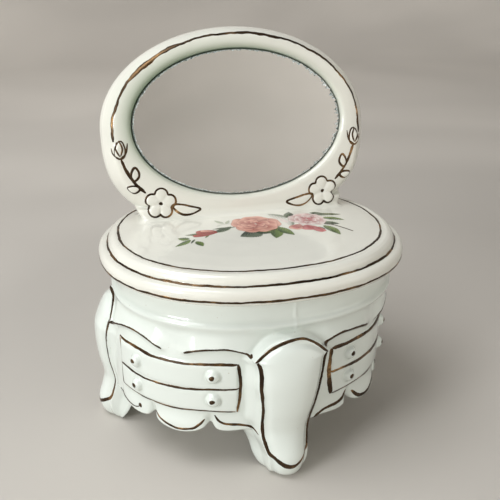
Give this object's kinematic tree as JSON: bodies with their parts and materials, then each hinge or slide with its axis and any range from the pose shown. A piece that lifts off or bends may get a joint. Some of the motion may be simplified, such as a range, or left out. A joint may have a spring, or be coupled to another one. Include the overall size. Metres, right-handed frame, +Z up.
{
  "type": "porcelain trinket box",
  "caption": "Oval glazed porcelain trinket box shaped like a small vanity commode on cabriole legs, with a lift-off lid carrying a leaning oval mirror in a moulded frame.",
  "frame": {"origin": "on the ground under the middle of the whole object", "axes": "+X to the right of a person looking into the mirror, -Y the front, +Z up"},
  "size_m": [0.1294, 0.1234, 0.1589],
  "materials": {
    "porcelain_base": "glossy off-white glaze with hand-painted gold lines",
    "porcelain_lid": "glossy off-white glaze with hand-painted gold lines and a floral decal",
    "mirror": "silvered glass with a rough chipped edge",
    "glue": "dried glue"
  },
  "bodies": {
    "base": {"base_box": "porcelain_base"},
    "lid": {"lid": "porcelain_lid", "mirror_glass": "mirror", "mirror_glue": "glue"}
  },
  "joints": [
    {"name": "lid_lift", "type": "slide", "parent": "base", "child": "lid", "axis": [0, 0, 1], "range_m": [0, 0.06]}
  ]
}
